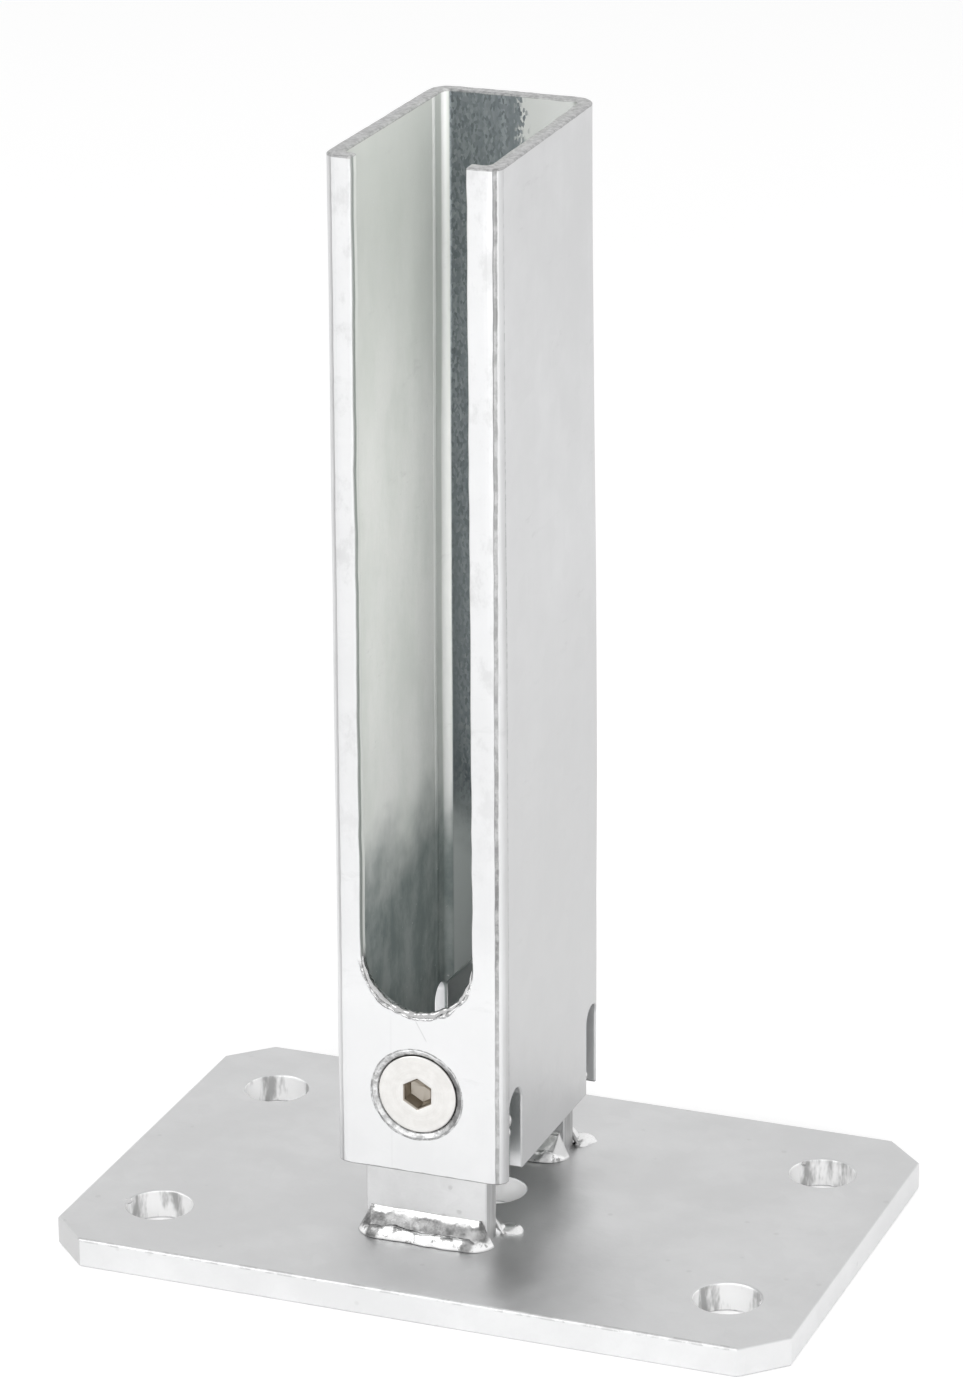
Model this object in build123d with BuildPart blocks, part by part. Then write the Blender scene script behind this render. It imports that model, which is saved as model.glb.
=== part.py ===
from build123d import *
import math
import os

# Sloped fence post base plate: a galvanised floor plate with two upright lugs, and a post
# socket that tilts on a pair of countersunk screws, so that a post stands upright on sloping
# ground. Millimetres, +Z up. The origin is the middle of the plate's underside. X runs along
# the plate's long side and Y along its short side, and the front with the open slot is at -Y.

# Base plate
plate_length = 150.0
plate_width = 98.0
plate_thickness = 6.0
plate_corner_cut = 8.0
plate_edge_round = 0.6
bolt_inset_x = 16.5
bolt_inset_y = 19.5
bolt_hole_diameter = 13.0
centre_hole_diameter = 13.0
hole_edge_round = 0.5

# Post socket, a rectangular tube that goes inside the fence post
socket_width = 35.0
socket_depth = 55.0
socket_wall = 3.0
socket_bend_radius = 4.6
socket_length = 200.0
socket_edge_round = 0.4
socket_offset_x = -4.5
pivot_above_socket_end = 16.5

# Open slot in the socket's front wall, between two flanges of the same width
slot_flange_width = 6.1
slot_shift = -0.5
slot_above_pivot = 16.0

# Four relief slots that let the lugs swing out through the socket's side walls
relief_width = 6.2
relief_height = 18.0
relief_inset = 0.1

# Lugs, two pieces of flat bar that stand on the plate
lug_side_clearance = 2.0
lug_thickness = 5.0
lug_height = 39.0
lug_corner_cut = 5.0
lug_edge_round = 0.4
lug_gap = 0.4
pivot_above_plate = 31.0

# Countersunk socket screws, which are also the tilt pivot
thread_diameter = 8.0
screw_length = 16.0
head_diameter = 16.0
head_land = 0.3
head_recess = 0.2
head_cone_angle = 90.0
hex_across_flats = 5.0
hex_depth = 3.0
tip_bevel = 1.0
screw_edge_round = 0.2
thread_clearance = 0.05
head_clearance = 0.08
lug_countersink_clearance = 0.3
countersink_edge_round = 1.7

# Fillet welds along both faces of each lug
weld_leg = 5.0
weld_bulge = 0.5
weld_end_inset = 3.5

# Sizes that follow from the ones above
bolt_spacing_x = plate_length - 2 * bolt_inset_x
bolt_spacing_y = plate_width - 2 * bolt_inset_y
slot_width = socket_width - 2 * slot_flange_width
lug_width = socket_width - 2 * socket_wall - 2 * lug_side_clearance

# Places that follow from the sizes above
plate_top = plate_thickness
pivot_height = plate_top + pivot_above_plate
socket_bottom = pivot_height - pivot_above_socket_end
pivot_x = socket_offset_x + slot_shift
lug_x = socket_offset_x
wall_outer_y = socket_depth / 2
wall_inner_y = wall_outer_y - socket_wall
lug_outer_y = wall_inner_y - lug_gap
lug_inner_y = lug_outer_y - lug_thickness
head_face_y = wall_outer_y - head_recess

# The cone of the screw's head, drawn on to the wall's outer face, sets both countersinks
half_cone_angle = math.radians(head_cone_angle / 2)
cone_slope = math.tan(half_cone_angle)
cone_radius_at_wall = head_diameter / 2 + cone_slope * (head_land + head_recess)
cone_radius_at_lug = cone_radius_at_wall - cone_slope * (socket_wall + lug_gap)
wall_countersink_radius = cone_radius_at_wall + head_clearance / math.cos(half_cone_angle)
lug_countersink_radius = cone_radius_at_lug + lug_countersink_clearance
thread_hole_radius = thread_diameter / 2 + thread_clearance

os.makedirs("parts", exist_ok=True)


# Base plate: flat steel with sheared corners, four bolt holes and a hole in the middle
with BuildPart() as base_plate:
    with BuildSketch(Plane.XY):
        Rectangle(plate_length, plate_width)
    extrude(amount=plate_thickness)
    chamfer(base_plate.edges().filter_by(Axis.Z), length=plate_corner_cut)
    fillet(base_plate.edges().group_by(Axis.Z)[-1], radius=plate_edge_round)
    fillet(base_plate.edges().group_by(Axis.Z)[0], radius=plate_edge_round)
    with Locations(Plane.XY.offset(plate_top)):
        with GridLocations(bolt_spacing_x, bolt_spacing_y, 2, 2):
            Hole(radius=bolt_hole_diameter / 2)
        Hole(radius=centre_hole_diameter / 2)
    hole_rims = base_plate.edges().filter_by(GeomType.CIRCLE).filter_by(
        lambda rim: rim.is_closed
    )
    fillet(hole_rims, radius=hole_edge_round)

base_plate.part.label = "base_plate"
export_step(base_plate.part, "parts/base_plate.step")


# Lugs: flat bar with clipped top corners, countersunk and threaded for the pivot screw
def make_lug(label, side):
    outer_face = Plane(origin=(pivot_x, side * lug_outer_y, pivot_height), z_dir=(0, side, 0))
    with BuildPart() as lug:
        with BuildSketch(Plane.XY.offset(plate_top)):
            with Locations((lug_x, side * (lug_outer_y + lug_inner_y) / 2)):
                Rectangle(lug_width, lug_thickness)
        extrude(amount=lug_height)
        top_ends = lug.edges().filter_by(Axis.Y).group_by(Axis.Z)[-1]
        chamfer(top_ends, length=lug_corner_cut)
        above_foot = lug.edges().filter_by(lambda edge: edge.center().Z > plate_top)
        fillet(above_foot, radius=lug_edge_round)
        with Locations(outer_face):
            CounterSinkHole(
                radius=thread_hole_radius,
                counter_sink_radius=lug_countersink_radius,
                depth=lug_thickness,
                counter_sink_angle=head_cone_angle,
            )
    lug.part.label = label
    export_step(lug.part, "parts/" + label + ".step")


make_lug("front_lug", -1)
make_lug("rear_lug", 1)


# Weld bead: a straight run along the lug's foot that ends in a quarter turn at each side
def make_weld(label, face_y, outward):
    half_run = lug_width / 2 - weld_end_inset
    crown_reach = weld_leg / 2 + weld_bulge / math.sqrt(2)
    root = (face_y, plate_top)
    toe = (face_y + outward * weld_leg, plate_top)
    crown = (face_y + outward * crown_reach, plate_top + crown_reach)
    head = (face_y, plate_top + weld_leg)
    with BuildSketch(Plane.YZ) as section:
        with BuildLine():
            Line(root, toe)
            ThreePointArc(toe, crown, head)
            Line(head, root)
        make_face()
    with BuildPart() as weld:
        with BuildSketch(Plane.YZ.offset(lug_x - half_run)):
            add(section.sketch_local)
        extrude(amount=2 * half_run)
        for end in (-1, 1):
            end_x = lug_x + end * half_run
            with BuildSketch(Plane.YZ.offset(end_x)):
                add(section.sketch_local)
            turning = Axis((end_x, face_y, plate_top), (0, 0, -outward * end))
            revolve(axis=turning, revolution_arc=90)
    weld.part.label = label
    export_step(weld.part, "parts/" + label + ".step")


make_weld("front_outer_weld", -lug_outer_y, -1)
make_weld("front_inner_weld", -lug_inner_y, 1)
make_weld("rear_inner_weld", lug_inner_y, -1)
make_weld("rear_outer_weld", lug_outer_y, 1)


def is_sharp(edge, owner):
    """True where the two faces beside the edge meet at an angle."""
    middle = edge @ 0.5
    normals = [face.normal_at(middle) for face in owner.faces() if edge in face.edges()]
    return normals[0].get_angle(normals[1]) > 1


# Post socket: a rectangular tube, slotted at the front, that hangs on the two screws
with BuildPart() as post_socket:
    with BuildSketch(Plane.XY.offset(socket_bottom)):
        with Locations((socket_offset_x, 0)):
            RectangleRounded(socket_width, socket_depth, socket_bend_radius)
            RectangleRounded(
                socket_width - 2 * socket_wall,
                socket_depth - 2 * socket_wall,
                socket_bend_radius - socket_wall,
                mode=Mode.SUBTRACT,
            )
    extrude(amount=socket_length)

    # Open slot with a round foot, from the socket's top end down to above the screw
    slot_arc_height = slot_above_pivot + slot_width / 2
    slot_top = socket_length - pivot_above_socket_end
    front_face = Plane(
        origin=(pivot_x, -wall_outer_y, pivot_height), x_dir=(1, 0, 0), z_dir=(0, -1, 0)
    )
    with BuildSketch(front_face):
        with Locations((0, slot_arc_height)):
            Circle(slot_width / 2)
            Rectangle(slot_width, slot_top - slot_arc_height, align=(Align.CENTER, Align.MIN))
    extrude(amount=-socket_wall, mode=Mode.SUBTRACT)

    # Relief slots with round tops, cut across both side walls next to the front and the rear
    relief_arc_height = socket_bottom + relief_height - relief_width / 2
    relief_middle_y = wall_inner_y - relief_inset - relief_width / 2
    with BuildSketch(Plane.YZ.offset(socket_offset_x)):
        for side in (-1, 1):
            with Locations((side * relief_middle_y, relief_arc_height)):
                Circle(relief_width / 2)
                Rectangle(
                    relief_width,
                    relief_height - relief_width / 2,
                    align=(Align.CENTER, Align.MAX),
                )
    extrude(amount=socket_width, both=True, mode=Mode.SUBTRACT)

    # Every cut edge is softened, but not the seams where a bend runs into a flat wall
    cut_edges = ShapeList(edge for edge in post_socket.edges() if is_sharp(edge, post_socket))
    fillet(cut_edges, radius=socket_edge_round)

    # Countersinks for the pivot screws, front and rear, each with a softened rim. The profile
    # runs from the rim down the cone and is turned about the screw's axis.
    rim_reach = countersink_edge_round * math.tan((math.pi / 2 - half_cone_angle) / 2)
    rim_outer = (wall_countersink_radius + rim_reach, 0)
    rim_inner = (
        wall_countersink_radius - rim_reach * math.sin(half_cone_angle),
        rim_reach * math.cos(half_cone_angle),
    )
    bore_start = (thread_hole_radius, (wall_countersink_radius - thread_hole_radius) / cone_slope)
    for side in (-1, 1):
        rim_middle = (pivot_x, side * wall_outer_y, pivot_height)
        inwards = Plane(origin=rim_middle, x_dir=(1, 0, 0), z_dir=(0, 0, -side))
        with BuildSketch(inwards):
            with BuildLine():
                Polyline(
                    rim_inner,
                    bore_start,
                    (thread_hole_radius, 2 * socket_wall),
                    (0, 2 * socket_wall),
                    (0, -socket_wall),
                    (rim_outer[0], -socket_wall),
                    rim_outer,
                )
                RadiusArc(rim_outer, rim_inner, countersink_edge_round)
            make_face()
        revolve(axis=Axis(rim_middle, (0, 1, 0)), mode=Mode.SUBTRACT)

post_socket.part.label = "post_socket"
export_step(post_socket.part, "parts/post_socket.step")


# Pivot screws: countersunk heads with a hexagon socket, turned into the lugs
def make_screw(label, side):
    head_radius = head_diameter / 2
    thread_radius = thread_diameter / 2
    cone_end = head_land + (head_radius - thread_radius) / cone_slope
    head_middle = (pivot_x, side * head_face_y, pivot_height)
    inwards = Plane(origin=head_middle, x_dir=(1, 0, 0), z_dir=(0, 0, -side))
    head_face = Plane(origin=head_middle, x_dir=(1, 0, 0), z_dir=(0, side, 0))
    with BuildPart() as screw:
        with BuildSketch(inwards):
            with BuildLine():
                Polyline(
                    (0, 0),
                    (head_radius, 0),
                    (head_radius, head_land),
                    (thread_radius, cone_end),
                    (thread_radius, screw_length - tip_bevel),
                    (thread_radius - tip_bevel, screw_length),
                    (0, screw_length),
                    close=True,
                )
            make_face()
        revolve(axis=Axis(head_middle, (0, 1, 0)))
        head_rim = screw.edges().filter_by(GeomType.CIRCLE).sort_by(Axis.Y)
        fillet(head_rim[0] if side < 0 else head_rim[-1], radius=screw_edge_round)
        with BuildSketch(head_face):
            RegularPolygon(
                radius=hex_across_flats / 2, side_count=6, major_radius=False, rotation=30
            )
        extrude(amount=-hex_depth, mode=Mode.SUBTRACT)
    screw.part.label = label
    export_step(screw.part, "parts/" + label + ".step")


make_screw("front_screw", -1)
make_screw("rear_screw", 1)
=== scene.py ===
import math
from types import SimpleNamespace

import bmesh
import bpy
from mathutils import Matrix, Vector, noise


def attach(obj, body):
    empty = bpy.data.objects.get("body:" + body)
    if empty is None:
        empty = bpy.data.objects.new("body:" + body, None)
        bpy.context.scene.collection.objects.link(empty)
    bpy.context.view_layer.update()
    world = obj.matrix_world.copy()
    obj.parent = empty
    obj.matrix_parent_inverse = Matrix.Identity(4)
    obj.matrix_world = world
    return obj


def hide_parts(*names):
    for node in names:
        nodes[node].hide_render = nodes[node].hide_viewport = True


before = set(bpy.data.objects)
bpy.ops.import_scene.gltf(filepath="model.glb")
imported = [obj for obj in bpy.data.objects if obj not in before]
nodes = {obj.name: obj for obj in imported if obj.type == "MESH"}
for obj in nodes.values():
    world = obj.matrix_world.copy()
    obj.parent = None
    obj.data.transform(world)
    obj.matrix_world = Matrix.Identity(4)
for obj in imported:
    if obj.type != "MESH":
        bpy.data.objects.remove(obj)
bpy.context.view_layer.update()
MM = 0.001

# Places and sizes in millimetres, as in the CAD part
PLATE_TOP = 6.0
HOLES = ((-58.5, -29.5), (58.5, -29.5), (-58.5, 29.5), (58.5, 29.5), (0.0, 0.0))
PIVOT = Vector((-5.0, 0.0, 37.0))
SOCKET_X = -4.5
SOCKET_HALF = 17.5
SOCKET_LOW = 20.5
BEND = 4.6
WALL_OUTER = 27.5
SLOT_HALF = 11.4
SLOT_FOOT = 64.4
LUG_OUTER = 24.1
LUG_INNER = 19.1
HEAD_FACE = 27.3
SCREW_LENGTH = 15.95


# Camera

def place_camera():
    """The photo's camera, as solved from points on the object's edges."""
    azimuth = math.radians(21.0)
    elevation = math.radians(20.29)
    roll = math.radians(-0.25)
    distance = 1077.9
    middle = Vector((0, 0, 100))
    to_right, to_up = -1.85, 9.08
    focal_px = 5647.35
    photo_height_px = 1388.0
    sensor = 36.0
    back = Vector((math.sin(azimuth) * math.cos(elevation),
                   -math.cos(azimuth) * math.cos(elevation),
                   math.sin(elevation)))
    right = Vector((math.cos(azimuth), math.sin(azimuth), 0.0))
    up = back.cross(right)
    right_rolled = right * math.cos(roll) + up * math.sin(roll)
    up_rolled = up * math.cos(roll) - right * math.sin(roll)
    place = middle + back * distance + to_right * right_rolled + to_up * up_rolled
    data = bpy.data.cameras.new("camera")
    camera = bpy.data.objects.new("camera", data)
    bpy.context.scene.collection.objects.link(camera)
    turn = Matrix((right_rolled, up_rolled, back)).transposed().to_4x4()
    camera.matrix_world = Matrix.Translation(place * MM) @ turn
    data.sensor_width = sensor
    data.sensor_height = sensor
    data.lens = focal_px * sensor / photo_height_px
    data.clip_start = 0.05
    data.clip_end = 30.0
    bpy.context.scene.camera = camera


# Node helpers

class Graph:
    """A short way to write shader nodes."""

    def __init__(self, name):
        self.material = bpy.data.materials.new(name)
        self.material.use_nodes = True
        self.tree = self.material.node_tree
        self.tree.nodes.clear()

    def node(self, kind, **inputs):
        made = self.tree.nodes.new(kind)
        for key, value in inputs.items():
            self.feed(made.inputs[key], value)
        return made

    def feed(self, socket, value):
        if isinstance(value, bpy.types.NodeSocket):
            self.tree.links.new(value, socket)
        else:
            socket.default_value = value

    def math(self, operation, a, b=0.0, c=0.0, clamp=False):
        made = self.tree.nodes.new("ShaderNodeMath")
        made.operation = operation
        made.use_clamp = clamp
        for socket, value in zip(made.inputs, (a, b, c)):
            self.feed(socket, value)
        return made.outputs[0]

    def times(self, a, b):
        return self.math("MULTIPLY", a, b)

    def plus(self, a, b):
        return self.math("ADD", a, b)

    def minus(self, a, b):
        return self.math("SUBTRACT", a, b)

    def most(self, a, b):
        return self.math("MAXIMUM", a, b)

    def abs(self, a):
        return self.math("ABSOLUTE", a)

    def hypot(self, a, b):
        return self.math("SQRT", self.plus(self.times(a, a), self.times(b, b)))

    def stray(self, value, noise, amount):
        """The value, moved to and fro by noise that runs from 0 to 1."""
        return self.math("MULTIPLY_ADD", self.minus(noise, 0.5), amount, value)

    def split(self, vector):
        made = self.tree.nodes.new("ShaderNodeSeparateXYZ")
        self.feed(made.inputs[0], vector)
        return made.outputs[:]

    def channels(self, color):
        made = self.tree.nodes.new("ShaderNodeSeparateColor")
        self.feed(made.inputs[0], color)
        return made.outputs[:]

    def span(self, value, low, high, to_low=0.0, to_high=1.0):
        """Runs smoothly from to_low to to_high while the value goes from low to high."""
        made = self.tree.nodes.new("ShaderNodeMapRange")
        made.interpolation_type = "SMOOTHSTEP"
        for key, item in (("Value", value), ("From Min", low), ("From Max", high),
                          ("To Min", to_low), ("To Max", to_high)):
            self.feed(made.inputs[key], item)
        return made.outputs[0]

    def place(self):
        made = self.tree.nodes.new("ShaderNodeTexCoord")
        return made.outputs["Object"]

    def stretch(self, vector, scale):
        made = self.tree.nodes.new("ShaderNodeMapping")
        self.feed(made.inputs["Vector"], vector)
        made.inputs["Scale"].default_value = scale
        return made.outputs[0]

    def noise(self, vector, scale, detail=3.0, rough=0.55):
        made = self.tree.nodes.new("ShaderNodeTexNoise")
        self.feed(made.inputs["Vector"], vector)
        made.inputs["Scale"].default_value = scale
        made.inputs["Detail"].default_value = detail
        made.inputs["Roughness"].default_value = rough
        return made.outputs[0]

    def cells(self, vector, scale):
        made = self.tree.nodes.new("ShaderNodeTexVoronoi")
        self.feed(made.inputs["Vector"], vector)
        made.inputs["Scale"].default_value = scale
        return made

    def mix(self, factor, a, b):
        made = self.tree.nodes.new("ShaderNodeMix")
        made.data_type = "RGBA"
        self.feed(made.inputs["Factor"], factor)
        self.feed(made.inputs[6], a)
        self.feed(made.inputs[7], b)
        return made.outputs[2]

    def bump(self, height, strength, distance, normal=None):
        made = self.tree.nodes.new("ShaderNodeBump")
        made.inputs["Strength"].default_value = strength
        made.inputs["Distance"].default_value = distance
        self.feed(made.inputs["Height"], height)
        if normal is not None:
            self.feed(made.inputs["Normal"], normal)
        return made.outputs[0]

    def band(self, value, middle, half, soft):
        """1 within half of middle, falling to 0 over soft."""
        return self.span(self.abs(self.minus(value, middle)), half, half + soft, 1.0, 0.0)

    def metal(self, color, roughness, normal, metallic=1.0):
        """The finished material, with one metal shader."""
        shader = self.tree.nodes.new("ShaderNodeBsdfPrincipled")
        for key, value in (("Metallic", metallic), ("Base Color", color),
                           ("Roughness", roughness), ("Normal", normal)):
            self.feed(shader.inputs[key], value)
        return self.finish(shader.outputs[0])

    def finish(self, shader):
        out = self.tree.nodes.new("ShaderNodeOutputMaterial")
        self.tree.links.new(shader, out.inputs["Surface"])
        return self.material


def grey(value, warm=0.0):
    """A grey with a small lean, positive towards warm and negative towards blue."""
    return (value * (1 + warm), value * (1 + 0.25 * warm), value * (1 - warm), 1.0)


SPECK = grey(0.34, 0.01)


# Zinc

def zinc(name, light, dark, warm, rough, streaks, spangle, lumps, specks, dress=None):
    """Hot-dip zinc: soft cloudy blotches, faint crystals, fine grain, specks and low lumps.

    dress adds what only one of the parts shows to the coat."""
    g = Graph(name)
    place = g.place()
    cloud = g.noise(place, 26.0, 4.0, 0.6)
    patch = g.noise(place, 95.0, 3.0, 0.55)
    grain = g.noise(place, 1500.0, 2.0, 0.6)
    crystal = g.channels(g.cells(place, 260.0).outputs["Color"])
    tone = g.math("MULTIPLY_ADD", cloud, 0.9, g.times(patch, 0.35))
    tone = g.math("MULTIPLY_ADD", crystal[0], 0.16 * spangle, tone)
    tone = g.math("MULTIPLY_ADD", grain, 0.10, tone)
    streak = g.noise(g.stretch(place, (420.0, 420.0, 9.0)), 1.0, 3.0, 0.6)
    tone = g.math("MULTIPLY_ADD", streak, streaks, tone)
    middle = 0.72 + 0.08 * spangle + 0.5 * streaks
    factor = g.span(tone, middle - 0.22, middle + 0.22)
    color = g.mix(factor, grey(dark, warm), grey(light, warm))

    pits = g.cells(place, 330.0)
    chosen = g.math("GREATER_THAN", g.channels(pits.outputs["Color"])[1], 0.955)
    spot = g.span(pits.outputs["Distance"], 0.10, 0.26, 1.0, 0.0)
    speck = g.times(g.times(chosen, spot), specks)
    color = g.mix(speck, color, SPECK)

    coat = SimpleNamespace(place=place, factor=factor, speck=speck, streak=streak, warm=warm,
                           color=color, metal=1.0, rough=rough, bumps=[])
    if dress:
        dress(g, coat)

    roughness = g.stray(coat.rough, cloud, 0.30)
    roughness = g.stray(roughness, crystal[1], 0.10 * spangle)
    roughness = g.math("MULTIPLY_ADD", speck, 0.2, roughness, clamp=True)
    normal = g.bump(g.noise(place, 70.0, 3.0, 0.5), 0.55 * lumps, 0.0009)
    normal = g.bump(g.noise(place, 340.0, 3.0, 0.55), 0.35 * lumps, 0.00022, normal)
    normal = g.bump(grain, 0.22, 0.00005, normal)
    normal = g.bump(speck, 0.5, -0.00008, normal)
    for height, strength, distance in coat.bumps:
        normal = g.bump(height, strength, distance, normal)
    return g.metal(coat.color, roughness, normal, coat.metal)


def dress_plate(g, coat):
    """Dull rolled faces, streaky linings in the holes, a worn edge, painted shade on one corner face and
    painted light on the middle hole's lining and beside the lugs.
    """
    x, y, z = g.split(coat.place)
    rolled = g.most(g.span(z, 5.55 * MM, 5.95 * MM), g.span(z, 0.45 * MM, 0.05 * MM))
    dull = g.mix(coat.factor, grey(0.60, coat.warm), grey(0.68, coat.warm))
    # Brighter where the socket's shadow falls, so that the shadow is as light as in the photo
    beside = g.hypot(g.minus(x, 12.0 * MM), g.minus(y, -9.0 * MM))
    dull = g.mix(g.span(beside, 6.0 * MM, 24.0 * MM, 0.8, 0.0), dull, grey(0.84, coat.warm))
    color = g.mix(rolled, coat.color, g.mix(coat.speck, dull, SPECK))
    wall = 0.0
    for hole_x, hole_y in HOLES:
        radius = g.hypot(g.minus(x, hole_x * MM), g.minus(y, hole_y * MM))
        wall = g.most(wall, g.span(radius, 6.56 * MM, 6.62 * MM, 1.0, 0.0))
    drained = g.noise(g.stretch(coat.place, (200.0, 200.0, 60.0)), 1.0, 4.0, 0.65)
    lining = g.mix(g.span(drained, 0.36, 0.52), grey(0.42), grey(0.97))
    # Painted light: the middle hole's lining is painted bright all round
    near_middle = g.span(g.abs(x), 20.0 * MM, 21.0 * MM, 1.0, 0.0)
    lining = g.mix(g.times(near_middle, 0.85), lining, grey(1.0))
    color = g.mix(wall, color, lining)
    coat.metal = g.minus(1.0, g.times(wall, g.math("MULTIPLY_ADD", near_middle, 0.35, 0.45)))
    long_edge = g.times(g.span(g.abs(y), 48.25 * MM, 48.50 * MM), g.span(z, 5.25 * MM, 5.55 * MM))
    worn = g.span(g.noise(coat.place, 380.0, 4.0, 0.65), 0.44, 0.60)
    color = g.mix(g.times(g.times(long_edge, worn), 0.5), color, grey(0.42))
    # Painted shade: the face at the front left corner is painted darker
    left_corner = g.minus(g.times(x, -1.0), y)
    coat.color = g.mix(g.span(left_corner, 115.7 * MM, 115.9 * MM, 0.0, 0.8), color, grey(0.60))


def dress_lug(g, coat):
    """The flat bar's two ends are painted darker than its rolled faces, as painted shade, with a fibrous
    grain.
    """
    x = g.split(coat.place)[0]
    # Painted shade on both ends of the bar
    shaded_ends = g.span(g.abs(g.minus(x, SOCKET_X * MM)), 12.40 * MM, 12.47 * MM)
    fibre = g.noise(g.stretch(coat.place, (300.0, 700.0, 60.0)), 1.0, 3.0, 0.6)
    coat.color = g.mix(shaded_ends, coat.color, g.mix(g.span(fibre, 0.3, 0.7), grey(0.44), grey(0.60)))


def dress_weld(g, coat):
    """A hollow dark with dross and painted shade between the lug and the bead's crest and at the run's
    ends, a painted highlight on the crest and a painted shadow at its foot.
    """
    x, y, z = g.split(coat.place)
    along = g.abs(g.minus(x, SOCKET_X * MM))
    out = g.abs(y)
    beyond = g.most(g.minus(along, 10.2 * MM), 0.0)
    away = g.most(g.most(g.minus(out, LUG_OUTER * MM), g.minus(LUG_INNER * MM, out)), 0.0)
    lumpy = g.noise(coat.place, 420.0, 4.0, 0.6)
    reach = g.stray(g.hypot(away, beyond), lumpy, 2.2 * MM)
    # Painted shade: the beads outside the lugs get darker hollows than those between them
    outside = g.span(out, 23.2 * MM, 24.0 * MM)
    hollow = g.times(g.span(reach, 0.55 * MM, 1.05 * MM), g.span(reach, 3.4 * MM, 2.8 * MM))
    # Painted shade also at both ends of the run
    run_end = g.band(g.stray(along, lumpy, 3.0 * MM), 9.8 * MM, 0.8 * MM, 1.1 * MM)
    ends = g.times(run_end, g.span(reach, 1.0 * MM, 1.8 * MM))
    hollow = g.times(g.most(hollow, ends), g.math("MULTIPLY_ADD", outside, 0.75, 0.25))
    # The hollow's dark tone is dross and painted shade
    dross_and_shade = g.span(g.noise(coat.place, 300.0, 4.0, 0.65), 0.34, 0.62)
    color = g.mix(g.times(hollow, 0.9), coat.color, g.mix(dross_and_shade, grey(0.07), grey(0.36)))
    # Painted highlight along the bead's crest, with dark spots in it
    crest = g.times(g.span(reach, 3.1 * MM, 3.6 * MM), g.minus(1.0, ends))
    dark_spot = g.span(g.noise(coat.place, 430.0, 4.0, 0.65), 0.52, 0.62)
    color = g.mix(crest, color, g.mix(dark_spot, grey(0.96), grey(0.34)))
    # Painted shadow along the bead's foot on the plate
    foot = g.span(z, (PLATE_TOP + 0.45) * MM, (PLATE_TOP + 0.1) * MM)
    coat.color = g.mix(g.times(foot, 0.6), color, grey(0.34))


def dress_socket(g, coat):
    """The tube's dull inside, its dark lines, cut edges, countersinks and front, with painted light and
    shade inside, on the front and on the right side wall.
    """
    at = SimpleNamespace()
    at.x, at.y, at.z = g.split(coat.place)
    at.across = g.minus(at.x, SOCKET_X * MM)
    at.side = g.abs(at.across)
    at.from_slot = g.abs(g.minus(at.x, PIVOT.x * MM))
    at.front = g.span(at.y, -26.2 * MM, -26.9 * MM)
    wander = g.noise(g.stretch(coat.place, (0.0, 0.0, 90.0)), 1.0)
    at.waver = g.times(g.minus(wander, 0.5), 0.5 * MM)
    at.along_x = g.plus(at.x, at.waver)
    at.coarse = g.noise(coat.place, 620.0, 4.0, 0.65)

    dress_inside(g, coat, at)
    dress_front_lines(g, coat, at)
    dress_slot_sides(g, coat, at)
    dress_front_tones(g, coat, at)
    dress_slot_foot(g, coat, at)
    dress_countersink(g, coat, at)
    dress_side_wall(g, coat, at)
    dress_cut_rim(g, coat, at)

    side_walls = g.times(at.within, g.minus(1.0, at.rear))
    lit = g.times(g.times(at.low, at.rear), g.times(at.within, 0.6))
    dull = g.most(g.most(side_walls, at.slot_cut), lit)
    coat.metal = g.math("MULTIPLY_ADD", dull, -0.85, 1.0)
    coat.rough = g.math("MULTIPLY_ADD", side_walls, 0.22, coat.rough)
    coat.rough = g.math("MULTIPLY_ADD", at.crust, -0.16, coat.rough)
    coat.bumps = [(at.crease, 0.9, -0.00020), (at.left_line, 0.7, -0.00015), (at.ridge, 0.6, 0.00020),
                  (g.times(g.most(at.crust, at.cone), at.coarse), 0.7, 0.0006)]


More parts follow.
